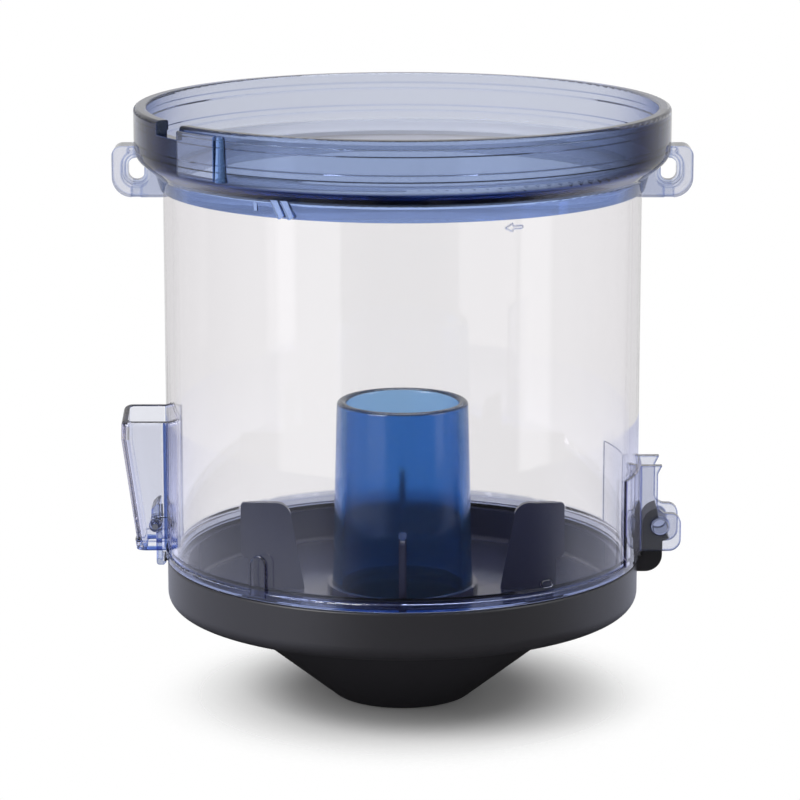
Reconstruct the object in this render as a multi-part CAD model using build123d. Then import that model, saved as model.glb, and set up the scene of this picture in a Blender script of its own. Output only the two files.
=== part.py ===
from build123d import *
import os
from math import atan2, cos, degrees, radians, sin, tan

# Cyclone dust bin of a vacuum cleaner. A clear bin with a tinted collar is closed from below by a
# dark base that swings down on a hinge at +X and is held shut by a sprung catch at -X.
# Millimetres, +Z up, bin axis on Z, flat of the foot on z = 0, front of the bin towards -Y.

# Main sizes
HEIGHT = 193.0
BIN_R = 76.2

# Fits shared by the pieces
SEAT_FIT = 0.05          # glued or pressed seat, per side
SLIDE_FIT = 0.1          # piece dropped into a recess, per side
RUN_FIT = 0.05           # pin turning in its hole, per side
PART_GAP = 0.3           # between pieces that move past each other

# Base shell: foot, cone and band
FOOT_R = 21.8
FOOT_ROUND = 3.0
CONE_H = 30.4            # foot to the underside of the band
CONE_INSET = 16.2        # head of the cone inside the band
CONE_ROUND = 4.0
BAND_H = 16.0
BAND_ROUND = 5.0
SHELL_WALL = 2.0
RIM_WALL = 2.6
RIM_ROUND = 0.8
LIP_H = 6.0              # rim above the ledge that carries the dish

# Inner dish with its vanes
FLOOR_GAP = 0.4
FLOOR_T = 2.0
DISH_WALL = 2.2
DISH_FLANGE_T = 2.2
DISH_DROP = 0.8          # dish edge below the rim
DISH_ROUND = 1.5
LEDGE_FIT = 0.3
SEAL_W = 1.5
SEAL_ROUND = 0.6
VANE_COUNT = 4
VANE_T = 2.4
VANE_H = 28.6
VANE_FOOT_R = 31.7       # inner edge at the floor
VANE_HEAD_R = 37.0       # inner edge at the top
VANE_ROUND = 5.0
VANE_WALL_GAP = 17.1
TIP_T = 1.4              # thin blade along the vane's outer edge
TIP_L = 3.3
TIP_LIFT = 10.0
TIP_ROUND = 2.5

# Centre tube
TUBE_H = 62.4
TUBE_TOP_R = 21.2
TUBE_FOOT_R = 22.9
TUBE_WALL = 3.2
TUBE_ROUND = 1.4
SOCKET_WALL = 1.5
SOCKET_H = 2.4

# Clear bin
BIN_WALL = 3.0
PARTING = 0.4            # between bin and base when shut
FLANGE_H = 2.6
FLANGE_OUT = 0.6
FLANGE_ROUND = 0.5
SEAL_PRESS_GAP = 0.05

# Collar
COLLAR_OUT = 9.1         # collar beyond the bin wall
COLLAR_WALL = 4.1
RIM_RISE = 19.6          # rim above the end of the bin wall
SKIRT_H = 6.2            # skirt below the end of the bin wall
SKIRT_T = 1.0
SKIRT_FLARE = 1.4
SHOULDER_LOW = 1.2       # foot of the shoulder below the end of the bin wall
SHOULDER_HIGH = 4.0      # head of the shoulder above it
SHOULDER_ROUND = 6.0
COLLAR_ROUND = 1.3
GROOVE_DROPS = (3.1, 10.7)  # upper edges of the two seal grooves, down from the rim
GROOVE_H = 2.1
GROOVE_DEPTH = 0.45
SOCKET_DEPTH = 15.8
SOCKET_FLOOR_T = 1.2

# Bayonet pocket, gap and slots of the collar
POCKET_AZIMUTH = -137.0
POCKET_ARC = 11.5
POCKET_OUT = 1.1
POCKET_LOW = 15.2        # measured down from the rim
POCKET_TOP = 1.4
STOP_ARC = 7.3           # pocket's middle to the stop's
STOP_FOOT_R = 2.1
STOP_HEAD_R = 1.4
GAP_ARC = 9.8
GAP_DEPTH = 4.4
SLOT_W = 2.6
SLOT_H = 4.6
SLOT_DEPTH = 2.4
SLOT_DROP = 5.6
SLOT_AZIMUTHS = (183.5, -3.5)
TAB_AZIMUTH = -117.4
TAB_W = 2.3
TAB_L = 8.6
TAB_OUT = 2.4
TAB_PITCH = 3.4
TAB_LEAN = 24.0
SKIRT_PIP_AZIMUTH = -124.5
SKIRT_PIP_W = 1.4
SKIRT_PIP_H = 2.6
SKIRT_PIP_OUT = 1.3

# Strap lugs of the collar
LUG_REACH = 7.0          # beyond the collar
LUG_W = 9.0
LUG_TOP = 6.8            # above the end of the bin wall
LUG_BOTTOM = 9.6         # below it
LUG_TOP_ROUND = 3.2
LUG_BOTTOM_ROUND = 6.4
LUG_BORDER = 5.1         # outer edge to the hole
LUG_HOLE_W = 5.1
LUG_HOLE_H = 7.2
LUG_HOLE_ROUND = 2.4
LUG_STEP = 1.05          # width of each of two steps around the hole
LUG_STEP_DEPTH = 1.3
LUG_SLOT_L = 5.4         # groove in the lug's upper bar
LUG_SLOT_H = 2.0
LUG_SLOT_DROP = 1.5
LUG_NOTCH_W = 3.0        # groove across its lower bar
LUG_NOTCH_H = 3.4
LUG_CUT = 1.0

# Hinge
HINGE_OUT = 6.85         # hinge axis beyond the bin wall
HINGE_UP = 10.4          # hinge axis above the bin's underside
PIN_R = 2.9
PIN_DOME = 0.8
HOOK_WALL = 2.6
HOOK_OPEN_FROM = -55.0
HOOK_OPEN_TO = 100.0
BRACKET_HALF = 6.0       # inner faces of the two bracket plates
BRACKET_T = 2.7
BRACKET_TOP = 19.9       # above the hinge axis
BRACKET_LOW = 8.2        # below the hinge axis
BRACKET_EDGE = 0.85      # neck of the plate inside the hinge axis
BRACKET_LIP = 1.3
BRACKET_LIP_H = 2.6
BOSS_OUT = 6.75          # plate's boss around the pin
BOSS_UP = 4.1
BOSS_LOW_ROUND = 3.8
BOSS_TOP_ROUND = 3.2
BOSS_NECK_ROUND = 3.4
HINGE_PAD_T = 1.0
HINGE_PAD_ARC = 46.0
ARM_SIDE_GAP = 0.6
ARM_OUT = 1.05           # outer face of the arm beyond the hinge axis
ARM_H = 5.0              # height of its root on the band
ARM_ROUND = 5.5

# Catch on the bin wall, the base's lip that it holds and the chute for the release rod
CATCH_RISE = 10.2        # catch axis above the bin's underside
CATCH_HUB_R = 2.1
CATCH_PIN_R = 1.0
CATCH_ARM_H = 7.0        # arm that the release rod pushes, above the axis
CATCH_CAM = 1.6          # slope at the arm's head
STEM_T = 1.9
NOSE_T = 1.2
NOSE_LEAD = 0.8
NOSE_WALL_GAP = 0.3
LATCH_OUT = 1.2          # lip beyond the band
LATCH_T = 1.1
LATCH_ARC = 10.0
SPRING_GAP_W = 4.8       # slot in the hub for the coil
SPRING_ROOM = 0.8
SPRING_TURNS = 3.75
SPRING_WIRE_R = 0.3
SPRING_PIN_GAP = 0.35
SPRING_LEG = 5.4
CHUTE_H = 45.0
CHUTE_TOP_FALL = 3.3     # fall of its upper edge from back to front
CHUTE_BOTTOM_RISE = 2.5  # chute's lower edge above the bin's underside
CHUTE_HALF = 8.7
CHUTE_WALL = 2.0
CHUTE_TOP_OUT = 14.1     # reach of the outer wall beyond the bin wall
CHUTE_WAIST_OUT = 14.3
CHUTE_WAIST_DROP = 9.0
CHUTE_LOW_OUT = 9.3
CHUTE_ROUND = 3.0
CHUTE_TOP_EDGE = 1.4     # round on the outside of its upper edge
CHUTE_HEM_H = 3.0
CHUTE_HEM_T = 0.5

# Small mouldings on the bin wall
CLIP_AZIMUTH = -125.5
CLIP_W = 5.6
CLIP_H = 10.0
CLIP_OUT = 0.9
PIP_AZIMUTH = -54.5
PIP_W = 4.6
PIP_H = 2.2
PIP_RISE = 5.4
PIP_OUT = 0.8
ARROW_AZIMUTH = -66.2
ARROW_L = 6.6
ARROW_W = 2.6
ARROW_LINE = 0.8
ARROW_DROP = 8.8
ARROW_OUT = 0.35

# Heights and radii that follow
RIM_Z = CONE_H + BAND_H
LEDGE_Z = RIM_Z - LIP_H
FLOOR_Z = CONE_H + SHELL_WALL + FLOOR_GAP + FLOOR_T
BIN_BOTTOM_Z = RIM_Z + PARTING
BIN_TOP_Z = HEIGHT - RIM_RISE
CONE_R = BIN_R - CONE_INSET
BIN_BORE_R = BIN_R - BIN_WALL
SHELL_BORE_R = BIN_R - RIM_WALL
SEAL_OUT_R = SHELL_BORE_R - SLIDE_FIT
SEAL_IN_R = SEAL_OUT_R - SEAL_W
DISH_OUT_R = SEAL_IN_R - SLIDE_FIT
DISH_BORE_R = DISH_OUT_R - DISH_WALL
VANE_OUT_R = DISH_BORE_R - VANE_WALL_GAP - TIP_L
TUBE_BORE_R = TUBE_FOOT_R - TUBE_WALL
TUBE_TOP_Z = FLOOR_Z + TUBE_H
SOCKET_R = BIN_R + SEAT_FIT
COLLAR_R = BIN_R + COLLAR_OUT
COLLAR_BORE_R = COLLAR_R - COLLAR_WALL
HINGE_X = BIN_R + HINGE_OUT
HINGE_Z = BIN_BOTTOM_Z + HINGE_UP
HOOK_R = PIN_R + RUN_FIT + HOOK_WALL
LATCH_Z = RIM_Z - LATCH_T
STEM_U = BIN_R + LATCH_OUT + PART_GAP
CATCH_U = STEM_U + CATCH_HUB_R
CATCH_Z = BIN_BOTTOM_Z + CATCH_RISE
NOSE_Z = LATCH_Z - PART_GAP
CATCH_W = 2 * (CHUTE_HALF - CHUTE_WALL - PART_GAP)
SPRING_R = CATCH_PIN_R + SPRING_PIN_GAP + SPRING_WIRE_R
CATCH_ARM_HALF = SPRING_R - SPRING_WIRE_R - SLIDE_FIT
CHUTE_BOTTOM_Z = BIN_BOTTOM_Z + CHUTE_BOTTOM_RISE
CHUTE_TOP_Z = CHUTE_BOTTOM_Z + CHUTE_H


def outline(*corners):
    """Closed face in the XZ plane. A corner is (x, z), or (x, z, rounding radius)."""
    points = [corner[:2] for corner in corners]
    radii = [corner[2] if len(corner) == 3 else 0 for corner in corners]
    border = Plane.XZ * FilletPolyline(*points, radius=radii, close=True)
    return make_face(border.edges())


def turned(*corners):
    """Solid of revolution about the bin axis."""
    return revolve(outline(*corners), Axis.Z)


def sector(azimuth, arc, *corners):
    """Part of a solid of revolution, centred on an azimuth."""
    return Rot(0, 0, azimuth - arc / 2) * revolve(outline(*corners), Axis.Z, arc)


def plate(width, *corners):
    """Outline extruded along Y, centred on the XZ plane."""
    return extrude(outline(*corners), width / 2, both=True)


def rod(radius, length, x, z):
    """Round bar along Y, centred on the XZ plane."""
    return Pos(x, 0, z) * Rot(90, 0, 0) * Cylinder(radius, length)


def on_wall(azimuth, radius, z):
    """Work plane that faces outwards from a cylinder, with its Y axis upwards."""
    turn = radians(azimuth)
    outwards = (cos(turn), sin(turn), 0)
    return Plane((radius * cos(turn), radius * sin(turn), z), (-sin(turn), cos(turn), 0), outwards)


def opposite(shape):
    """The same piece on the other side of the bin axis."""
    return Rot(0, 0, 180) * shape


def round_bar(radius, low, high):
    """Upright cylinder on the bin axis between two heights."""
    return Pos(0, 0, (low + high) / 2) * Cylinder(radius, high - low)


def base_shell():
    """Band, cone and foot in one moulding, with the hinge arm and the lip for the catch."""
    slope = atan2(CONE_H, CONE_R - FOOT_R)
    inset = SHELL_WALL / tan(slope) - SHELL_WALL / sin(slope)
    shell = turned(
        (0, 0),
        (FOOT_R, 0, FOOT_ROUND),
        (CONE_R, CONE_H, CONE_ROUND),
        (BIN_R, CONE_H, BAND_ROUND),
        (BIN_R, RIM_Z, RIM_ROUND),
        (SHELL_BORE_R, RIM_Z),
        (SHELL_BORE_R, LEDGE_Z),
        (DISH_OUT_R + LEDGE_FIT, LEDGE_Z),
        (DISH_OUT_R + LEDGE_FIT, CONE_H + SHELL_WALL, BAND_ROUND - SHELL_WALL),
        (CONE_R + inset, CONE_H + SHELL_WALL, CONE_ROUND),
        (FOOT_R + inset, SHELL_WALL, FOOT_ROUND),
        (0, SHELL_WALL),
    )
    hollow = round_bar(SHELL_BORE_R, 0, HINGE_Z + HOOK_R)
    return shell + (hinge_arm() - hollow) + opposite(latch_lip())


def hinge_arm():
    """Arm of the base that ends in an open hook around the hinge pin."""
    root_z = RIM_Z - ARM_H
    inner_x = HINGE_X - HOOK_R
    width = 2 * (BRACKET_HALF - ARM_SIDE_GAP)
    arm = plate(
        width,
        (SHELL_BORE_R - RIM_WALL, root_z),
        (HINGE_X + ARM_OUT, root_z, ARM_ROUND),
        (HINGE_X + ARM_OUT, HINGE_Z - HOOK_R / 2),
        (HINGE_X, HINGE_Z),
        (inner_x, HINGE_Z),
        (inner_x, RIM_Z),
        (SHELL_BORE_R - RIM_WALL, RIM_Z),
    )
    mouth_angles = (HOOK_OPEN_FROM, (HOOK_OPEN_FROM + HOOK_OPEN_TO) / 2, HOOK_OPEN_TO)
    reach = 3 * HOOK_R
    mouth_points = [
        (HINGE_X + reach * cos(radians(a)), HINGE_Z + reach * sin(radians(a))) for a in mouth_angles
    ]
    mouth = plate(width, (HINGE_X, HINGE_Z), *mouth_points)
    eye = rod(HOOK_R, width, HINGE_X, HINGE_Z) - mouth
    return arm + eye - rod(PIN_R + RUN_FIT, width, HINGE_X, HINGE_Z)


def latch_lip():
    """Short lip on the rim, sloped on top, that the nose of the catch holds from below."""
    root_r = SHELL_BORE_R + RIM_WALL / 2
    return sector(
        0,
        LATCH_ARC,
        (root_r, LATCH_Z),
        (BIN_R + LATCH_OUT, LATCH_Z),
        (BIN_R + LATCH_OUT, LATCH_Z + LATCH_T / 2),
        (BIN_R, RIM_Z),
        (root_r, RIM_Z),
    )


def base_dish():
    """Flat dish in the base with a socket for the tube and upright vanes."""
    dish = turned(
        (TUBE_BORE_R, FLOOR_Z - FLOOR_T),
        (DISH_OUT_R, FLOOR_Z - FLOOR_T, DISH_ROUND + DISH_WALL),
        (DISH_OUT_R, LEDGE_Z),
        (SEAL_OUT_R, LEDGE_Z),
        (SEAL_OUT_R, LEDGE_Z + DISH_FLANGE_T),
        (DISH_OUT_R, LEDGE_Z + DISH_FLANGE_T),
        (DISH_OUT_R, RIM_Z - DISH_DROP),
        (DISH_BORE_R, RIM_Z - DISH_DROP),
        (DISH_BORE_R, FLOOR_Z, DISH_ROUND),
        (TUBE_BORE_R, FLOOR_Z),
    )
    socket_r = TUBE_FOOT_R + SLIDE_FIT
    socket = turned(
        (socket_r, FLOOR_Z - FLOOR_T / 2),
        (socket_r + SOCKET_WALL, FLOOR_Z - FLOOR_T / 2),
        (socket_r + SOCKET_WALL, FLOOR_Z + SOCKET_H),
        (socket_r, FLOOR_Z + SOCKET_H),
    )
    dish += socket
    for number in range(VANE_COUNT):
        dish += Rot(0, 0, number * 360 / VANE_COUNT) * vane()
    return dish


def vane():
    """Upright plate on the dish floor with a thin blade along its outer edge."""
    top = FLOOR_Z + VANE_H
    body = plate(
        VANE_T,
        (VANE_FOOT_R, FLOOR_Z - FLOOR_T / 2),
        (VANE_HEAD_R, top, VANE_ROUND),
        (VANE_OUT_R, top),
        (VANE_OUT_R, FLOOR_Z - FLOOR_T / 2),
    )
    blade = plate(
        TIP_T,
        (VANE_OUT_R - VANE_T, FLOOR_Z + TIP_LIFT),
        (VANE_OUT_R + TIP_L, FLOOR_Z + TIP_LIFT, TIP_ROUND),
        (VANE_OUT_R + TIP_L, top, TIP_ROUND / 2),
        (VANE_OUT_R - VANE_T, top),
    )
    return body + blade


def centre_tube():
    """Tapered tube that stands in the socket of the dish."""
    return turned(
        (TUBE_BORE_R, FLOOR_Z),
        (TUBE_FOOT_R, FLOOR_Z),
        (TUBE_TOP_R, TUBE_TOP_Z, TUBE_ROUND),
        (TUBE_TOP_R - TUBE_WALL, TUBE_TOP_Z, TUBE_ROUND),
    )


def base_seal():
    """Rubber ring between the dish and the rim, pressed by the flange of the bin."""
    top = BIN_BOTTOM_Z - SEAL_PRESS_GAP
    return turned(
        (SEAL_IN_R, LEDGE_Z + DISH_FLANGE_T),
        (SEAL_OUT_R, LEDGE_Z + DISH_FLANGE_T),
        (SEAL_OUT_R, top, SEAL_ROUND),
        (SEAL_IN_R, top, SEAL_ROUND),
    )


def bin_cylinder():
    """Clear bin wall with its flange, hinge bracket, release chute and small mouldings."""
    flange_top = BIN_BOTTOM_Z + FLANGE_H
    wall = turned(
        (SEAL_IN_R, BIN_BOTTOM_Z),
        (BIN_R + FLANGE_OUT, BIN_BOTTOM_Z, FLANGE_ROUND),
        (BIN_R + FLANGE_OUT, flange_top, FLANGE_ROUND),
        (BIN_R, flange_top),
        (BIN_R, BIN_TOP_Z),
        (BIN_BORE_R, BIN_TOP_Z),
        (BIN_BORE_R, flange_top + FLANGE_H / 2),
        (SEAL_IN_R, flange_top),
    )
    moulded = hinge_bracket() + opposite(release_chute()) + wall_marks()
    return wall + (moulded - round_bar(BIN_R - BIN_WALL / 2, 0, BIN_TOP_Z))


def hinge_bracket():
    """Two clear plates on a thickened patch of the wall, bored for the hinge pin."""
    root_x = BIN_BORE_R - BIN_WALL
    top = HINGE_Z + BRACKET_TOP
    low = HINGE_Z - BRACKET_LOW
    neck_x = HINGE_X - BRACKET_EDGE
    side = plate(
        BRACKET_T,
        (root_x, low),
        (HINGE_X + BOSS_OUT, low, BOSS_LOW_ROUND),
        (HINGE_X + BOSS_OUT, HINGE_Z + BOSS_UP, BOSS_TOP_ROUND),
        (neck_x, HINGE_Z + BOSS_UP, BOSS_NECK_ROUND),
        (neck_x, top - BRACKET_LIP_H),
        (neck_x + BRACKET_LIP, top),
        (root_x, top),
    )
    offset = BRACKET_HALF + BRACKET_T / 2
    plates = Pos(0, offset, 0) * side + Pos(0, -offset, 0) * side
    plates -= rod(PIN_R + SEAT_FIT, 4 * offset, HINGE_X, HINGE_Z)
    patch = sector(
        0,
        HINGE_PAD_ARC,
        (BIN_BORE_R, low),
        (BIN_R + HINGE_PAD_T, low),
        (BIN_R + HINGE_PAD_T, top),
        (BIN_BORE_R, top),
    )
    return plates + patch


def chute_block(half, inset, low, high):
    """Tapered block of the chute, drawn in from its outer faces by an inset."""
    waist_z = CHUTE_TOP_Z - CHUTE_WAIST_DROP
    root_x = BIN_BORE_R - CHUTE_HALF
    block = plate(
        2 * (half - inset),
        (root_x, low),
        (BIN_R + CHUTE_LOW_OUT - inset, low),
        (BIN_R + CHUTE_WAIST_OUT - inset, waist_z),
        (BIN_R + CHUTE_TOP_OUT - inset, high),
        (root_x, high),
    )
    sides = block.faces().sort_by(Axis.Y)
    outer_x = BIN_R + CHUTE_LOW_OUT / 2
    corners = [edge for side in (sides[0], sides[-1]) for edge in side.edges() if edge.center().X > outer_x]
    return fillet(corners, CHUTE_ROUND - inset / 2)


def release_chute():
    """Open chute on the wall that carries the catch pin, with a thick hem at its lower edge."""
    shape = chute_block(CHUTE_HALF, 0, CHUTE_BOTTOM_Z, CHUTE_TOP_Z)
    fall = degrees(atan2(CHUTE_TOP_FALL, 2 * CHUTE_HALF))
    above = Pos(0, 0, CHUTE_H / 2) * Box(4 * BIN_R, 4 * CHUTE_HALF, CHUTE_H)
    shape -= Pos(0, 0, CHUTE_TOP_Z - CHUTE_TOP_FALL / 2) * Rot(-fall, 0, 0) * above
    top = shape.faces().sort_by(Axis.Z)[-1]
    shape = fillet(top.edges().sort_by(Axis.X)[1:], CHUTE_TOP_EDGE)
    hem = chute_block(CHUTE_HALF, -CHUTE_HEM_T, CHUTE_BOTTOM_Z, CHUTE_TOP_Z)
    shape += hem - round_bar(2 * BIN_R, CHUTE_BOTTOM_Z + CHUTE_HEM_H, HEIGHT)
    shape -= chute_block(CHUTE_HALF, CHUTE_WALL, CHUTE_BOTTOM_Z, CHUTE_TOP_Z)
    return shape - rod(CATCH_PIN_R + SEAT_FIT, 4 * CHUTE_HALF, CATCH_U, CATCH_Z)


def wall_marks():
    """Locating clip, pip and direction arrow moulded on the front of the wall."""
    root_r = BIN_R - BIN_WALL
    flange_top = BIN_BOTTOM_Z + FLANGE_H
    clip_face = Pos(0, CLIP_H / 2) * Rectangle(CLIP_W, CLIP_H) + Pos(0, CLIP_H) * Circle(CLIP_W / 2)
    clip = extrude(on_wall(CLIP_AZIMUTH, root_r, flange_top - FLANGE_H / 2) * clip_face, BIN_WALL + CLIP_OUT)
    pip_face = SlotOverall(PIP_W, PIP_H)
    pip = extrude(on_wall(PIP_AZIMUTH, root_r, BIN_BOTTOM_Z + PIP_RISE) * pip_face, BIN_WALL + PIP_OUT)
    head = Polygon((0, 0), (ARROW_W, -ARROW_W / 2), (ARROW_W, ARROW_W / 2), align=None)
    shaft = Pos(ARROW_L / 2, 0) * Rectangle(ARROW_L - ARROW_W / 2, ARROW_LINE)
    arrow_plane = on_wall(ARROW_AZIMUTH, root_r, BIN_TOP_Z - ARROW_DROP)
    arrow = extrude(arrow_plane * (head + shaft), BIN_WALL + ARROW_OUT)
    return clip + pip + arrow


def collar_body():
    """Outside of the collar, filled: skirt around the bin wall, rounded shoulder and rim."""
    skirt_z = BIN_TOP_Z - SKIRT_H
    skirt_r = SOCKET_R + SKIRT_T
    return turned(
        (0, skirt_z),
        (skirt_r, skirt_z),
        (skirt_r + SKIRT_FLARE, BIN_TOP_Z - SHOULDER_LOW, SHOULDER_ROUND / 3),
        (COLLAR_R, BIN_TOP_Z + SHOULDER_HIGH, SHOULDER_ROUND),
        (COLLAR_R, HEIGHT, COLLAR_ROUND),
        (0, HEIGHT),
    )


def collar_hollow():
    """Inside of the collar: seat of the bin wall, socket floor and bore with two seal grooves."""
    grooves = []
    for drop in reversed(GROOVE_DROPS):
        high = HEIGHT - drop
        low = high - GROOVE_H
        grooves += [
            (COLLAR_BORE_R, low - GROOVE_DEPTH / 2),
            (COLLAR_BORE_R + GROOVE_DEPTH, low + GROOVE_DEPTH / 2),
            (COLLAR_BORE_R + GROOVE_DEPTH, high - GROOVE_DEPTH / 2),
            (COLLAR_BORE_R, high + GROOVE_DEPTH / 2),
        ]
    return turned(
        (0, BIN_TOP_Z - 2 * LUG_BOTTOM),
        (SOCKET_R, BIN_TOP_Z - 2 * LUG_BOTTOM),
        (SOCKET_R, BIN_TOP_Z),
        (BIN_BORE_R, BIN_TOP_Z),
        (BIN_BORE_R, BIN_TOP_Z + SOCKET_FLOOR_T),
        (COLLAR_BORE_R, HEIGHT - SOCKET_DEPTH, SHOULDER_ROUND / 3),
        *grooves,
        (COLLAR_BORE_R, HEIGHT, COLLAR_ROUND / 2),
        (COLLAR_R, HEIGHT),
        (COLLAR_R, HEIGHT + RIM_RISE),
        (0, HEIGHT + RIM_RISE),
    )


def lug_cut(sketch, x, z, depth):
    """Sketch sunk to a depth in both faces of a lug."""
    cuts = []
    for side in (-1, 1):
        face = Plane((x, side * LUG_W / 2, z), (1, 0, 0), (0, -side, 0))
        cuts.append(extrude(face * sketch, depth))
    return cuts[0] + cuts[1]


def strap_lug():
    """D-shaped loop at the side of the collar: a hole with two steps around it and two grooves."""
    low = BIN_TOP_Z - LUG_BOTTOM
    high = BIN_TOP_Z + LUG_TOP
    reach = COLLAR_R + LUG_REACH
    body = plate(
        LUG_W,
        (SOCKET_R - SKIRT_T, low),
        (reach, low, LUG_BOTTOM_ROUND),
        (reach, high, LUG_TOP_ROUND),
        (SOCKET_R - SKIRT_T, high),
    )
    hole_x = reach - LUG_BORDER - LUG_HOLE_W / 2
    hole_z = low + LUG_BORDER + LUG_HOLE_H / 2
    for steps, depth in enumerate((LUG_W / 2, 2 * LUG_STEP_DEPTH, LUG_STEP_DEPTH)):
        grown = 2 * steps * LUG_STEP
        hole = RectangleRounded(LUG_HOLE_W + grown, LUG_HOLE_H + grown, LUG_HOLE_ROUND + grown / 2)
        body -= lug_cut(hole, hole_x, hole_z, depth)
    body -= lug_cut(SlotOverall(LUG_SLOT_L, LUG_SLOT_H), hole_x, high - LUG_SLOT_DROP, LUG_CUT)
    notch = Rectangle(LUG_NOTCH_W, 2 * LUG_NOTCH_H)
    return body - lug_cut(notch, hole_x, low, LUG_CUT)


def bayonet_pocket():
    """Raised pocket with a tapered stop on the outside of the rim."""
    low = HEIGHT - POCKET_LOW
    high = HEIGHT - POCKET_TOP
    root_r = COLLAR_R - COLLAR_WALL / 2
    pocket = sector(
        POCKET_AZIMUTH,
        POCKET_ARC,
        (root_r, low),
        (COLLAR_R + POCKET_OUT, low),
        (COLLAR_R + POCKET_OUT, high, POCKET_OUT / 2),
        (root_r, high),
    )
    stop = turned((0, low), (STOP_FOOT_R, low), (STOP_HEAD_R, high, STOP_HEAD_R / 2), (0, high))
    return pocket + Rot(0, 0, POCKET_AZIMUTH + STOP_ARC) * Pos(COLLAR_R, 0, 0) * stop


def clip_tab():
    """Two slanted ridges across the skirt and a small pip beside them."""
    ridge = extrude(RectangleRounded(TAB_W, TAB_L, TAB_W / 3), SKIRT_T + TAB_OUT)
    middle = BIN_TOP_Z - SKIRT_H + TAB_L / 2
    ridges = [Pos(side * TAB_PITCH / 2, 0, 0) * Rot(0, 0, TAB_LEAN) * ridge for side in (-1, 1)]
    tab = on_wall(TAB_AZIMUTH, SOCKET_R, middle).location * (ridges[0] + ridges[1])
    pip_face = RectangleRounded(SKIRT_PIP_W, SKIRT_PIP_H, SKIRT_PIP_W / 3)
    pip_plane = on_wall(SKIRT_PIP_AZIMUTH, SOCKET_R, BIN_TOP_Z - SKIRT_H / 2)
    return tab + extrude(pip_plane * pip_face, SKIRT_T + SKIRT_PIP_OUT)


def collar_ring():
    """Tinted collar with its lugs, bayonet pocket, gap, slots and clip tab."""
    lug = strap_lug()
    ring = collar_body() + lug + opposite(lug) + bayonet_pocket() + clip_tab()
    ring -= collar_hollow()
    ring -= sector(
        POCKET_AZIMUTH - (POCKET_ARC + GAP_ARC) / 2,
        GAP_ARC,
        (COLLAR_BORE_R - COLLAR_WALL, HEIGHT - GAP_DEPTH),
        (COLLAR_R + COLLAR_WALL, HEIGHT - GAP_DEPTH),
        (COLLAR_R + COLLAR_WALL, HEIGHT + GAP_DEPTH),
        (COLLAR_BORE_R - COLLAR_WALL, HEIGHT + GAP_DEPTH),
    )
    for azimuth in SLOT_AZIMUTHS:
        ring -= slot_block(azimuth, 0)
    return ring


def slot_block(azimuth, gap):
    """Block of a slot in the side of the collar, drawn in by a gap on every side."""
    block = Box(SLOT_DEPTH - 2 * gap, SLOT_W - 2 * gap, SLOT_H - 2 * gap)
    return Rot(0, 0, azimuth) * Pos(COLLAR_R - SLOT_DEPTH / 2, 0, HEIGHT - SLOT_DROP - SLOT_H / 2) * block


def pad_left():
    """Rubber pad in the left slot of the collar."""
    return slot_block(SLOT_AZIMUTHS[0], SEAT_FIT)


def pad_right():
    """Rubber pad in the right slot of the collar."""
    return slot_block(SLOT_AZIMUTHS[1], SEAT_FIT)


def hinge_pin():
    """Pin through the bracket plates, with a dome at each end."""
    pin = rod(PIN_R, 2 * (BRACKET_HALF + BRACKET_T + PIN_DOME), HINGE_X, HINGE_Z)
    return fillet(pin.edges().filter_by(GeomType.CIRCLE), PIN_DOME)


def base_catch():
    """Lever with two hub lobes, an arm for the release rod and a nose under the base's lip."""
    nose_u = BIN_R + NOSE_WALL_GAP
    low = NOSE_Z - NOSE_T
    arm_top = CATCH_Z + CATCH_ARM_H
    arm = plate(
        CATCH_W,
        (CATCH_U - CATCH_ARM_HALF, CATCH_Z),
        (CATCH_U + CATCH_ARM_HALF, CATCH_Z),
        (CATCH_U + CATCH_ARM_HALF, arm_top - CATCH_CAM),
        (CATCH_U + CATCH_ARM_HALF - CATCH_CAM, arm_top),
        (CATCH_U - CATCH_ARM_HALF, arm_top),
    )
    stem = plate(
        CATCH_W,
        (STEM_U, CATCH_Z),
        (STEM_U, NOSE_Z),
        (nose_u, NOSE_Z),
        (nose_u, low + NOSE_LEAD),
        (nose_u + NOSE_LEAD, low),
        (STEM_U + STEM_T, low, STEM_T / 2),
        (STEM_U + STEM_T, CATCH_Z),
    )
    lever = arm + stem + rod(CATCH_HUB_R, CATCH_W, CATCH_U, CATCH_Z)
    lever -= rod(CATCH_PIN_R + RUN_FIT, 2 * CATCH_W, CATCH_U, CATCH_Z)
    return opposite(lever - rod(CATCH_HUB_R + SPRING_ROOM, SPRING_GAP_W, CATCH_U, CATCH_Z))


def catch_pin():
    """Pin of the catch between the side walls of the chute."""
    return opposite(rod(CATCH_PIN_R, 2 * CHUTE_HALF, CATCH_U, CATCH_Z))


def catch_spring():
    """Torsion spring around the catch pin: one leg against the wall, one behind the lever's arm."""
    pitch = 2 * SPRING_WIRE_R + SEAT_FIT
    length = pitch * SPRING_TURNS
    coil = Rot(0, 0, 90) * Helix(pitch, length, SPRING_R, lefthand=True)
    wall_leg = CATCH_U - BIN_R - SEAT_FIT
    start = Line(coil @ 0 - (coil % 0) * wall_leg, coil @ 0)
    end = Line(coil @ 1, coil @ 1 + (coil % 1) * SPRING_LEG)
    path = Wire([start.edge(), coil.edge(), end.edge()])
    wire = sweep(Plane(path @ 0, z_dir=path % 0) * Circle(SPRING_WIRE_R), path)
    return opposite(Pos(CATCH_U, 0, CATCH_Z) * Rot(90, 0, 0) * Pos(0, 0, -length / 2) * wire)


NODES = {
    "bin_cylinder": bin_cylinder,
    "collar_ring": collar_ring,
    "pad_left": pad_left,
    "pad_right": pad_right,
    "hinge_pin": hinge_pin,
    "base_shell": base_shell,
    "base_dish": base_dish,
    "centre_tube": centre_tube,
    "base_seal": base_seal,
    "base_catch": base_catch,
    "catch_pin": catch_pin,
    "catch_spring": catch_spring,
}

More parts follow.
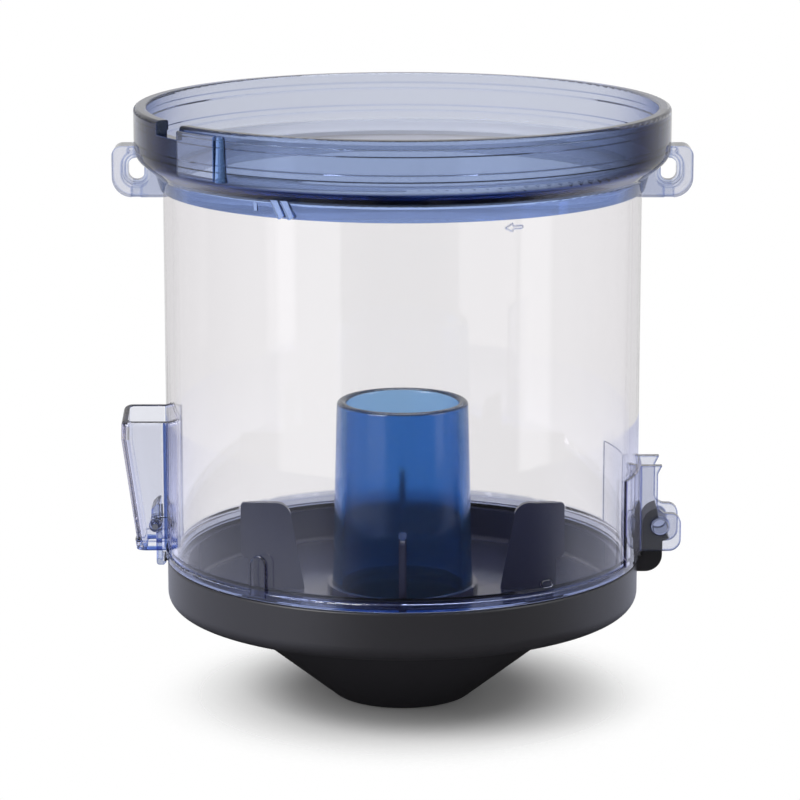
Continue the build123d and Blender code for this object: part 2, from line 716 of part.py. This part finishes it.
os.makedirs("parts", exist_ok=True)
for name, build in NODES.items():
    export_step(build(), f"parts/{name}.step")
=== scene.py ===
# %% [markdown]
# # A cyclone dust bin in clear plastic
# The bin is a clear moulded cylinder with a blue tinted collar, closed from below by a dark base
# that carries a blue tube. Nearly all of it is see-through, so the look comes from light that goes
# through walls and bends at their edges, and less from colour painted on a surface.
# The solid parts come in as a fixed frame. This script gives them their finishes, a welded copy of
# the spring, the light of a small photo studio and a camera.

# %% Load the frame
import math

import bmesh
import bpy
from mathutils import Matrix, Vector


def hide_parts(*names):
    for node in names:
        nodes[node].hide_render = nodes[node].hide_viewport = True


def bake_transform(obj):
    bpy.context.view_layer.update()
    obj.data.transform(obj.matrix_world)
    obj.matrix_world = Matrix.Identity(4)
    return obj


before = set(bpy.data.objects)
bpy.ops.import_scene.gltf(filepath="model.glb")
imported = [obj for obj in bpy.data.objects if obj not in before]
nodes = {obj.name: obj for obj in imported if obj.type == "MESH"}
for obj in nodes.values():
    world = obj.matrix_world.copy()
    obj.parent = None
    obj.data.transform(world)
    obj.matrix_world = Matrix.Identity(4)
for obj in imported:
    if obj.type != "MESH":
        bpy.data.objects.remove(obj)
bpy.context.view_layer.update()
scene = bpy.context.scene
scene.view_settings.view_transform = "Standard"
print("pieces:", ", ".join(sorted(nodes)))

# %% [markdown]
# ## Colours and nodes
# Colours are written as the eye reads them, as sRGB hex values, and Blender works in linear light,
# so one function turns the first into the second. A second small function adds a shader node with
# its settings, its values and its links in one call. Inputs that share a name go by number, as _0.

# %% Helpers
MM = 0.001


def linear(hex_colour):
    """Linear RGBA of an sRGB hex colour."""
    parts = [int(hex_colour[i : i + 2], 16) / 255 for i in (1, 3, 5)]
    return [c / 12.92 if c <= 0.04045 else ((c + 0.055) / 1.055) ** 2.4 for c in parts] + [1.0]


def add(tree, kind, settings=(), **inputs):
    """Adds a node. An input that is a socket gets a link, and any other gets its value."""
    node = tree.nodes.new(kind)
    for name, value in dict(settings).items():
        setattr(node, name, value)
    for name, value in inputs.items():
        number = name[1:]
        socket = node.inputs[int(number) if number.isdigit() else name.replace("_", " ")]
        if isinstance(value, bpy.types.NodeSocket):
            tree.links.new(value, socket)
        else:
            socket.default_value = value
    return node


def new_material(name):
    """An empty node material, its tree and its output node."""
    material = bpy.data.materials.new(name)
    material.use_nodes = True
    tree = material.node_tree
    tree.nodes.clear()
    return material, tree, tree.nodes.new("ShaderNodeOutputMaterial")


print("middle grey in linear light:", round(linear("#808080")[0], 3))

# %% [markdown]
# ## Zones
# A moulding differs from place to place: where it is glued, where a plate leaves it, along its rim.
# Such a zone is a factor from 0 to 1. It is worked out from Object coordinates, which are those of
# the frame, so it stays on its piece when the piece moves. Each row of a zone has an axis, which is
# X, Y, Z or the distance R from the upright axis, the millimetres where the zone begins and those
# where it is complete. A skin is a base colour with layers over it, each in its own zone.

# %% Zones and layers
SMOOTH = {"interpolation_type": "SMOOTHSTEP"}
PRODUCT = {"operation": "MULTIPLY"}
FROM_ABOVE = (1, 1, 0)


def zone(tree, place, rows, factor=1.0, unit=MM):
    """Factor that is 1 in a zone, times a factor from elsewhere."""
    for axis, begin, complete in rows:
        if axis == "R":
            level = add(tree, "ShaderNodeVectorMath", PRODUCT, _0=place, _1=FROM_ABOVE).outputs[0]
            length = add(tree, "ShaderNodeVectorMath", {"operation": "LENGTH"}, _0=level)
            measure = length.outputs["Value"]
        else:
            measure = add(tree, "ShaderNodeSeparateXYZ", Vector=place).outputs[axis]
        part = add(
            tree,
            "ShaderNodeMapRange",
            SMOOTH,
            Value=measure,
            From_Min=begin * unit,
            From_Max=complete * unit,
        )
        factor = add(tree, "ShaderNodeMath", PRODUCT, _0=factor, _1=part.outputs["Result"]).outputs[0]
    return factor


def layered(tree, base, *layers):
    """A colour or a number with layers over it, each a factor and what the layer changes it to."""
    for factor, over in layers:
        if isinstance(over, float):
            base = add(tree, "ShaderNodeMix", Factor=factor, _2=base, _3=over).outputs[0]
            continue
        ends = [linear(c) if isinstance(c, str) else c for c in (base, over)]
        colours = add(
            tree, "ShaderNodeMix", {"data_type": "RGBA"}, Factor=factor, _6=ends[0], _7=ends[1]
        )
        base = colours.outputs[2]
    return base


# %% [markdown]
# ## Clear polycarbonate
# The bin and its collar are moulded polycarbonate, which is as clear as glass and bends light a
# little more. A volume takes its colour out by the millimetre: the tint is what is left of white
# light after a given depth. The skin adds what depth alone doesn't give, zone by zone, and much of
# that is painted light and painted shade.
#
# Light that travels inside a moulded wall leaves it at its corners, and there it has come a long
# way. The Bevel node finds those corners by its rounded normal, and the skin is painted a deeper blue
# along them, painted light and shade for the colour of that long path.
# A slow ripple, as moulded walls have, bends what is seen through them.

# %% See-through plastics
POLYCARBONATE_IOR = 1.586
EDGE_MM = 1.0
EDGE_BEGIN = 0.99
EDGE_COMPLETE = 0.80
RIPPLE_MM = 30
RIPPLE_HEIGHT_MM = 0.2
RIPPLE_STRENGTH = 0.12


def corners(tree):
    """Factor that is 1 along the sharp corners of a piece."""
    rounded = add(tree, "ShaderNodeBevel", {"samples": 4}, Radius=EDGE_MM * MM).outputs["Normal"]
    flat = add(tree, "ShaderNodeNewGeometry").outputs["Normal"]
    agreement = add(tree, "ShaderNodeVectorMath", {"operation": "DOT_PRODUCT"}, _0=rounded, _1=flat)
    edge = add(
        tree,
        "ShaderNodeMapRange",
        SMOOTH,
        Value=agreement.outputs["Value"],
        From_Min=EDGE_BEGIN,
        From_Max=EDGE_COMPLETE,
    )
    return edge.outputs["Result"]


def see_through(name, tint, depth_mm, skin_colour, clearness, roughness=0.0, mirror="#FFFFFF"):
    """Moulded clear plastic that turns white light into its tint over a given depth."""
    material, tree, output = new_material(name)
    loss = [-math.log(c) / (depth_mm * MM) for c in linear(tint)[:3]]
    density = max(loss)
    body = add(
        tree,
        "ShaderNodeVolumeAbsorption",
        Color=[1 - value / density for value in loss] + [1.0],
        Density=density,
    )
    place = add(tree, "ShaderNodeTexCoord").outputs["Object"]
    ripple = add(tree, "ShaderNodeTexNoise", Vector=place, Scale=1 / (RIPPLE_MM * MM), Detail=1.0)
    skin_form = add(
        tree,
        "ShaderNodeBump",
        Strength=RIPPLE_STRENGTH,
        Distance=RIPPLE_HEIGHT_MM * MM,
        Height=ripple.outputs["Fac"],
    )
    skin = add(
        tree,
        "ShaderNodeBsdfPrincipled",
        Base_Color=skin_colour(tree, place),
        Roughness=roughness,
        IOR=POLYCARBONATE_IOR,
        Transmission_Weight=clearness(tree, place) if callable(clearness) else clearness,
        Specular_Tint=linear(mirror),
        Normal=skin_form.outputs["Normal"],
    )
    tree.links.new(skin.outputs["BSDF"], output.inputs["Surface"])
    tree.links.new(body.outputs["Volume"], output.inputs["Volume"])
    return material


# %% [markdown]
# The bin is white in its wall, with painted blue light at its corners. Its flange, the hem and the
# root of the chute at the left are painted bluer, painted blue light, and the flange greyer at the
# back. The hinge plates at the right are a little milky, and glue has frosted the back of the wall's
# top, which stands in the collar.

# %% Bin plastic
BIN_R = 76.2
FLANGE_TOP = 49.4
HEM_TOP = 50.4
FLANGE = [("Z", FLANGE_TOP + 2, FLANGE_TOP)]
FLANGE_BACK = [("Y", -20, 30)]
OUTSIDE_BIN = [("R", 77.4, 78.0)]
HINGE_PLATES = [("X", 69, 72), ("Z", 84, 74)]
CHUTE_ROOT = [
    ("R", BIN_R + 0.2, BIN_R + 0.3),
    ("X", -73, -74),
    ("R", BIN_R + 1.2, BIN_R + 1.0),
    ("Z", FLANGE_TOP, FLANGE_TOP + 1),
]
HEM = [("Z", HEM_TOP + 0.1, HEM_TOP), ("X", -77, -78)]
GLUED_TOP = [("Z", 169.4, 170.0), ("Y", -20, 10)]
BELOW_COLLAR = [("Z", 170, 169)]
WALL_CLEARNESS = 1.0
HINGE_CLEARNESS = 0.94
GLUED_TOP_CLEARNESS = 0.55


def bin_skin(tree, place):
    """Tint of the bin by place, with painted blue light on corners, flange, hem and chute."""
    # Painted blue light on the flange, greyer at the back.
    rim = layered(tree, "#B4C3EC", (zone(tree, place, FLANGE_BACK), "#B4BACA"))
    return layered(
        tree,
        "#FFFFFF",
        (zone(tree, place, FLANGE), rim),
        (zone(tree, place, OUTSIDE_BIN), "#EFF1F8"),
        (zone(tree, place, HINGE_PLATES), "#EAEDF7"),
        # Painted blue light at the chute root and the hem.
        (zone(tree, place, CHUTE_ROOT), "#5A70AE"),
        (zone(tree, place, HEM), "#5470BE"),
        (zone(tree, place, GLUED_TOP), "#F0F2FC"),
        # Painted blue light along the corners below the collar.
        (zone(tree, place, BELOW_COLLAR, corners(tree)), "#4A62B0"),
    )


def bin_clearness(tree, place):
    """Share of the light that goes through the bin's skin."""
    return layered(
        tree,
        WALL_CLEARNESS,
        (zone(tree, place, HINGE_PLATES), HINGE_CLEARNESS),
        (zone(tree, place, GLUED_TOP), GLUED_TOP_CLEARNESS),
    )


bin_plastic = see_through("clear_polycarbonate_moulded", "#FCFBFC", 3.0, bin_skin, bin_clearness)
print("made", bin_plastic.name)

# %% [markdown]
# The collar is tinted. It is painted darker where it is seen at a slant, painted shade for light
# that has come further through it. Its front is painted darker than its back, painted shade, and a
# navy band of painted shade lies on its front shoulder. The lugs and the pocket, which stand out
# from the ring, are paler, with a little of the painted shade at the front. The stop in the pocket
# lets less light through and is painted pale blue, painted light for the blue that it carries.
# Glue has frosted the back of the seat for the bin wall. A dark mirror tint keeps the room's
# reflections from whitening the front.

# %% Collar plastic
COLLAR_R = 85.3
FRONT = [("Y", -10, -40)]
BACK = [("Y", -32, 5)]
SKIRT = [("Z", 173.4, 172.6)]
SHOULDER_SHADE = [("Z", 174.2, 175.2), ("Z", 177.4, 176.4)] + FRONT
GLUED_SEAT = [("R", 81.1, 80.6), ("Y", -20, 10), ("Z", 172.0, 173.0)]
OUTSTANDING = [("R", COLLAR_R + 0.3, COLLAR_R + 0.6)]
OUTER_FACE = [("R", 81, 81.4)]
STOP_PLACE = (-54.5 * MM, -65.6 * MM, 0)
STOP = [("R", 3.2, 2.6)]
FRONT_SLANT = (0.08, 0.56)
BACK_SLANT = (0.3, 0.85)
RING_CLEARNESS = 0.9
SEAT_CLEARNESS = 0.1
STOP_CLEARNESS = 0.78


def stop_block(tree, place):
    """Factor that is 1 at the stop of the bayonet pocket."""
    from_stop = add(tree, "ShaderNodeVectorMath", {"operation": "SUBTRACT"}, _0=place, _1=STOP_PLACE)
    return zone(tree, place, OUTSTANDING, zone(tree, from_stop.outputs[0], STOP))


def slanted(tree, begin, complete):
    """Factor that is 1 where a face is seen at a slant."""
    slant = add(tree, "ShaderNodeLayerWeight", Blend=0.5).outputs["Facing"]
    part = add(tree, "ShaderNodeMapRange", SMOOTH, Value=slant, From_Min=begin, From_Max=complete)
    return part.outputs["Result"]


def collar_skin(tree, place):
    """Tint of the collar by place and slant, with painted shade at front, slants and shoulder."""
    front = zone(tree, place, FRONT)
    near = layered(
        tree,
        "#A6B8DA",
        # Painted shade where the front is seen at a slant.
        (slanted(tree, *FRONT_SLANT), "#080D2C"),
        (zone(tree, place, SKIRT), "#B2CAF8"),
    )
    return layered(
        tree,
        near,
        # The back painted paler than the front, with painted shade at its slants.
        (zone(tree, place, BACK), layered(tree, "#DCE0EA", (slanted(tree, *BACK_SLANT), "#7482B0"))),
        (zone(tree, place, GLUED_SEAT), "#BABFCE"),
        # Navy band of painted shade on the front shoulder.
        (zone(tree, place, SHOULDER_SHADE), "#0E1F5A"),
        # Lugs and pocket paler, with a little painted shade at the front.
        (zone(tree, place, OUTSTANDING), layered(tree, "#FFFFFF", (front, "#DCE2F2"))),
        # Painted pale blue light on the stop.
        (stop_block(tree, place), "#8CB6FA"),
        # Painted blue light along the outer face's corners, deeper at the front: painted shade.
        (zone(tree, place, OUTER_FACE, corners(tree)), layered(tree, "#93A6DA", (front, "#4468B4"))),
    )


def collar_clearness(tree, place):
    """Share of the light that goes through the collar's skin."""
    return layered(
        tree,
        RING_CLEARNESS,
        (zone(tree, place, GLUED_SEAT), SEAT_CLEARNESS),
        # The stop lets less light through, so its painted pale blue shows.
        (stop_block(tree, place), STOP_CLEARNESS),
    )


collar_plastic = see_through(
    "blue_tinted_polycarbonate_moulded",
    "#ECEDF3",
    4.1,
    collar_skin,
    collar_clearness,
    mirror="#182040",
)
print("made", collar_plastic.name)

# %% [markdown]
# The tube is deep blue, and a little of its dye scatters light, so that it stays blue in front of the
# dark dish. Its front is painted deeper than its back, and its corners darker: painted shade.

# %% Tube plastic
TUBE_BACK = [("Y", -15, 15)]


def tube_skin(tree, place):
    """Blue, with painted shade at the front and along the corners."""
    back = zone(tree, place, TUBE_BACK)
    # Front painted deeper than the back, corners painted darker: painted shade.
    return layered(tree, "#72ACE6", (back, "#A6CEF2"), (corners(tree), "#1C4078"))


tube_plastic = see_through(
    "deep_blue_polycarbonate_moulded", "#E4ECF6", 3.2, tube_skin, clearness=0.94, roughness=0.1
)
print("made", tube_plastic.name)

# %% [markdown]
# The catch is acetal, which is milky and lets light through where it is thin. It shares the IOR of
# the bin, because a piece this small wouldn't show the difference. Its corners are painted darker,
# painted shade.

# %% Catch plastic


def catch_skin(tree, place):
    """Pale grey-blue with painted shade along its corners."""
    return layered(tree, "#F2F4FA", (corners(tree), "#8C9CD4"))


catch_plastic = see_through(
    "grey_acetal_moulded", "#F4F6FB", 3.0, catch_skin, clearness=0.94, roughness=0.02
)
print("made", catch_plastic.name)

# %% [markdown]
# ## Dark ABS
# The base is moulded ABS with a fine spark-eroded grain that dulls its shine, and the dish inside
# is the same plastic from a polished tool, so it mirrors the tube and the vanes. The dish is painted
# lighter and bluer than the shell, painted light for the blue light that falls into it. The seal and
# the pads are nitrile rubber, matt and nearly black. The grain is drawn at half a millimetre,
# coarser than a real one, because a finer one wouldn't show.

# %% Dark plastics
ABS_IOR = 1.54
GRAIN_MM = 0.5
GRAIN_HEIGHT_MM = 0.05
SHINE_SPREAD = 0.15


def dark_plastic(name, colour, roughness, grain_strength, specular=0.3):
    """Moulded dark plastic with a fine grain in its height and its shine."""
    material, tree, output = new_material(name)
    place = add(tree, "ShaderNodeTexCoord").outputs["Object"]
    grain = add(tree, "ShaderNodeTexNoise", Vector=place, Scale=1 / (GRAIN_MM * MM), Detail=2.0)
    shine = add(
        tree,
        "ShaderNodeMapRange",
        Value=grain.outputs["Fac"],
        To_Min=roughness * (1 - SHINE_SPREAD),
        To_Max=roughness * (1 + SHINE_SPREAD),
    )
    bump = add(
        tree,
        "ShaderNodeBump",
        Strength=grain_strength,
        Distance=GRAIN_HEIGHT_MM * MM,
        Height=grain.outputs["Fac"],
    )
    skin = add(
        tree,
        "ShaderNodeBsdfPrincipled",
        Base_Color=linear(colour),
        Roughness=shine.outputs["Result"],
        IOR=ABS_IOR,
        Specular_IOR_Level=specular,
        Normal=bump.outputs["Normal"],
    )
    tree.links.new(skin.outputs["BSDF"], output.inputs["Surface"])
    return material


shell_plastic = dark_plastic("dark_abs_grained", "#29282D", 0.4, 0.4, specular=0.6)
# Lighter and bluer than the shell: painted light in the dish.
dish_plastic = dark_plastic("dark_abs_polished", "#3D4159", 0.14, 0.01)
seal_rubber = dark_plastic("black_nitrile_rubber", "#161618", 0.7, 0.4)
print("made", shell_plastic.name, dish_plastic.name, seal_rubber.name)

# %% [markdown]
# ## Steel
# The pin and the spring of the catch are ground steel. They hardly show inside the chute, so a plain
# bright metal is enough.

# %% Steel
steel, tree, output = new_material("ground_steel_rod")
skin = add(
    tree,
    "ShaderNodeBsdfPrincipled",
    Base_Color=linear("#C9CBD0"),
    Metallic=1.0,
    Roughness=0.22,
)
tree.links.new(skin.outputs["BSDF"], output.inputs["Surface"])
print("made", steel.name)

# %% [markdown]
# ## Finishes
# Each piece of the frame gets one finish. The hinge pin is moulded in the plastic of the collar.

# %% Finishes on the pieces
FINISHES = {
    "bin_cylinder": bin_plastic,
    "collar_ring": collar_plastic,
    "pad_left": seal_rubber,
    "pad_right": seal_rubber,
    "hinge_pin": collar_plastic,
    "centre_tube": tube_plastic,
    "base_shell": shell_plastic,
    "base_dish": dish_plastic,
    "base_seal": seal_rubber,
    "base_catch": catch_plastic,
    "catch_pin": steel,
    "catch_spring": steel,
}
for name, finish in FINISHES.items():
    nodes[name].data.materials.clear()
    nodes[name].data.materials.append(finish)
print("finished pieces:", len(FINISHES))

# %% [markdown]
# ## Spring of the catch
# The torsion spring has one leg on the bin wall and the other behind the catch, so it twists along
# its own axis when the catch tilts. A copy of its mesh takes its place.
# The frame's meshes are loose triangles, so the copy is welded first.

# %% Welded spring copy
WELD_MM = 0.001

spring_mesh = nodes["catch_spring"].data.copy()
welded = bmesh.new()
welded.from_mesh(spring_mesh)
bmesh.ops.remove_doubles(welded, verts=welded.verts, dist=WELD_MM * MM)
welded.to_mesh(spring_mesh)
welded.free()
spring = bpy.data.objects.new("catch_spring_wire", spring_mesh)
scene.collection.objects.link(spring)
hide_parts("catch_spring")
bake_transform(spring)
print("spring points:", len(spring_mesh.vertices))

# %% [markdown]
# ## Studio
# A white table fades into a white surround. A path that has been reflected anywhere sees the darker
# room around the set instead, as in a real studio, and that is what gives clear plastic its edges:
# the room is brightest at the back and has a dark opening at the front, where the camera stands.

# %% Room
HALF_BOUNCE = 0.5
BACK_SIDE = ((0, 1, 0), 0.2, 0.9)
OPEN_FRONT = ((0.375, -0.927, 0.0), 0.45, 0.85)
SIDE_LEVEL = 0.42
BACK_LEVEL = 0.75
DARK_LEVEL = 0.05


def straight_paths(tree, path):
    """Factor that is 1 for what the camera sees itself or through clear walls, without a mirror."""
    seen = add(
        tree,
        "ShaderNodeMath",
        {"operation": "ADD", "use_clamp": True},
        _0=path["Is Camera Ray"],
        _1=path["Is Transmission Ray"],
    )
    unmirrored = add(
        tree, "ShaderNodeMath", {"operation": "LESS_THAN"}, _0=path["Glossy Depth"], _1=HALF_BOUNCE
    )
    straight = add(tree, "ShaderNodeMath", PRODUCT, _0=seen.outputs[0], _1=unmirrored.outputs[0])
    return straight.outputs[0]


def facing(tree, direction, side, begin, complete):
    """Factor that is 1 towards one side, by the cosine of the angle to it as seen from above."""
    level = add(tree, "ShaderNodeVectorMath", PRODUCT, _0=direction, _1=FROM_ABOVE).outputs[0]
    unit = add(tree, "ShaderNodeVectorMath", {"operation": "NORMALIZE"}, _0=level).outputs[0]
    cosine = add(tree, "ShaderNodeVectorMath", {"operation": "DOT_PRODUCT"}, _0=unit, _1=side)
    part = add(
        tree,
        "ShaderNodeMapRange",
        SMOOTH,
        Value=cosine.outputs["Value"],
        From_Min=begin,
        From_Max=complete,
    )
    return part.outputs["Result"]


def room_level(tree, direction, bonus):
    """Light from a direction: brightest at the back, with a dark opening at the front."""
    room = layered(tree, SIDE_LEVEL, (facing(tree, direction, *BACK_SIDE), BACK_LEVEL))
    room = add(tree, "ShaderNodeMath", {"operation": "ADD"}, _0=room, _1=bonus).outputs[0]
    return layered(tree, room, (facing(tree, direction, *OPEN_FRONT), DARK_LEVEL))


# %% [markdown]
# The table is a disc of white paper. It takes shadow close under the bin. Further out, and where
# nothing stands close above it, it lets the straight paths and the lamps through, so that a base
# that hangs open below its level still shows. Paths from below go through it too.

# %% Table
TABLE_R = 450 * MM
PAPER_COLOUR = (0.82, 0.82, 0.82, 1)
SHADOW_PLACE = (3 * MM, -2 * MM, 0)
OUT_OF_SHADOW = [("R", 32, 90)]
STAND_MM = 40
VACANT_BEGIN = 0.9
VACANT_COMPLETE = 0.99
LARGER = {"operation": "MAXIMUM"}

bpy.ops.mesh.primitive_circle_add(vertices=96, radius=TABLE_R, fill_type="NGON", location=(0, 0, 0))
table = bpy.context.object
table.name = "table"
paper, tree, output = new_material("white_paper_sweep")
place = add(tree, "ShaderNodeTexCoord").outputs["Object"]
path = add(tree, "ShaderNodeLightPath").outputs
from_shadow = add(tree, "ShaderNodeVectorMath", {"operation": "SUBTRACT"}, _0=place, _1=SHADOW_PLACE)
far = zone(tree, from_shadow.outputs[0], OUT_OF_SHADOW)
sky = add(tree, "ShaderNodeAmbientOcclusion", {"samples": 8}, Distance=STAND_MM * MM).outputs["AO"]
vacant = add(
    tree, "ShaderNodeMapRange", SMOOTH, Value=sky, From_Min=VACANT_BEGIN, From_Max=VACANT_COMPLETE
)
gone = add(tree, "ShaderNodeMath", LARGER, _0=far, _1=vacant.outputs["Result"]).outputs[0]
straight = straight_paths(tree, path)
passing = add(tree, "ShaderNodeMath", LARGER, _0=straight, _1=path["Is Shadow Ray"]).outputs[0]
open_table = add(tree, "ShaderNodeMath", PRODUCT, _0=gone, _1=passing).outputs[0]
under = add(tree, "ShaderNodeNewGeometry").outputs["Backfacing"]
fade = add(tree, "ShaderNodeMath", LARGER, _0=open_table, _1=under).outputs[0]
matt = add(tree, "ShaderNodeBsdfDiffuse", Color=PAPER_COLOUR).outputs[0]
clear = add(tree, "ShaderNodeBsdfTransparent").outputs[0]
shown = add(tree, "ShaderNodeMixShader", _0=fade, _1=matt, _2=clear).outputs[0]
print("table radius:", TABLE_R)

# %% [markdown]
# In a mirror the table carries the light of the room, with more of it than the walls have, and none
# close under the bin, which shades it.

# %% Table in a mirror
LIT_TABLE = [("R", 60, 170)]
NEAR_TABLE = [("R", 445, 260)]
NEAR_BONUS = 0.42

bonus = zone(tree, place, NEAR_TABLE, NEAR_BONUS)
lit = zone(tree, place, LIT_TABLE, room_level(tree, place, bonus))
dim = add(tree, "ShaderNodeEmission", Color=linear("#E6EAFF"), Strength=lit).outputs[0]
mirrored = add(
    tree, "ShaderNodeMath", {"operation": "GREATER_THAN"}, _0=path["Glossy Depth"], _1=HALF_BOUNCE
)
mixed = add(tree, "ShaderNodeMixShader", _0=mirrored.outputs[0], _1=shown, _2=dim).outputs[0]
tree.links.new(mixed, output.inputs["Surface"])
table.data.materials.append(paper)
print("made", paper.name)

# %% [markdown]
# The surround is white for straight paths and a soft even light for matt surfaces. In a mirror it is
# the room, with a window strip on either side of the front and a pale ceiling.

# %% Surround
LEFT_WINDOW = ((-0.719, -0.695, 0.0), 0.956, 0.964)
RIGHT_WINDOW = ((0.920, -0.391, 0.0), 0.984, 0.992)
CEILING = [("Z", 0.5, 0.9)]
WINDOW_LEVEL = 0.9
CEILING_LEVEL = 0.6
SOFT_LEVEL = 0.45
WHITE_LEVEL = 1.0

world = bpy.data.worlds.new("studio")
scene.world = world
world.use_nodes = True
tree = world.node_tree
tree.nodes.clear()
path = add(tree, "ShaderNodeLightPath").outputs
direction = add(tree, "ShaderNodeTexCoord").outputs["Generated"]
level = layered(
    tree,
    room_level(tree, direction, bonus=0.0),
    (facing(tree, direction, *LEFT_WINDOW), WINDOW_LEVEL),
    (facing(tree, direction, *RIGHT_WINDOW), WINDOW_LEVEL),
    (zone(tree, direction, CEILING, unit=1), CEILING_LEVEL),
    (path["Is Diffuse Ray"], SOFT_LEVEL),
    (straight_paths(tree, path), WHITE_LEVEL),
)
glow = add(tree, "ShaderNodeBackground", Color=(1, 1, 1, 1), Strength=level).outputs[0]
surround = tree.nodes.new("ShaderNodeOutputWorld")
tree.links.new(glow, surround.inputs["Surface"])
print("made", world.name)

# %% [markdown]
# Three soft lamps give the matt surfaces their shape: a key at the left, a weak fill at the right and
# one from above.

# %% Lamps
LAMP_AIM = Vector((0, 0, 0.1))


def softbox(name, place, size, power):
    """A square area lamp that faces the middle of the bin."""
    lamp = bpy.data.lights.new(name, "AREA")
    lamp.size = size
    lamp.energy = power
    box = bpy.data.objects.new(name, lamp)
    scene.collection.objects.link(box)
    box.location = place
    box.rotation_euler = (LAMP_AIM - Vector(place)).to_track_quat("-Z", "Y").to_euler()
    print("lamp:", name, power, "W")


softbox("key_left", (-1.1, -0.9, 1.1), size=0.8, power=18)
softbox("fill_right", (1.3, -0.5, 0.9), size=0.8, power=5)
softbox("top", (0.0, 0.3, 1.5), size=1.0, power=10)

# %% [markdown]
# ## Camera
# A long lens looks down into the bin from a little over a metre, so that the ovals of the rim and the
# base open as they do in the photograph and the sides stay nearly upright.

# %% Camera
CAMERA_PLACE = Vector((-0.0008, -1.170, 0.345))
CAMERA_AIM = Vector((-0.0008, 0, 0.097))
LENS_MM = 166.8
SENSOR_MM = 36.0
CLIP_NEAR = 0.05
CLIP_FAR = 50

lens = bpy.data.cameras.new("camera")
lens.lens = LENS_MM
lens.sensor_width = SENSOR_MM
lens.clip_start = CLIP_NEAR
lens.clip_end = CLIP_FAR
camera = bpy.data.objects.new("camera", lens)
scene.collection.objects.link(camera)
camera.location = CAMERA_PLACE
camera.rotation_euler = (CAMERA_AIM - CAMERA_PLACE).to_track_quat("-Z", "Y").to_euler()
scene.camera = camera
print("camera distance:", round((CAMERA_AIM - CAMERA_PLACE).length, 3))

# %% [markdown]
# A line of sight through the bin crosses many skins, and each crossing is a bounce, so paths may be
# longer than Blender's default lets them be.

# %% Light through many walls
WALL_BOUNCES = 24
MIRROR_BOUNCES = 12

scene.cycles.max_bounces = WALL_BOUNCES
scene.cycles.transmission_bounces = WALL_BOUNCES
scene.cycles.glossy_bounces = MIRROR_BOUNCES
scene.cycles.transparent_max_bounces = WALL_BOUNCES
print("bounces:", WALL_BOUNCES)
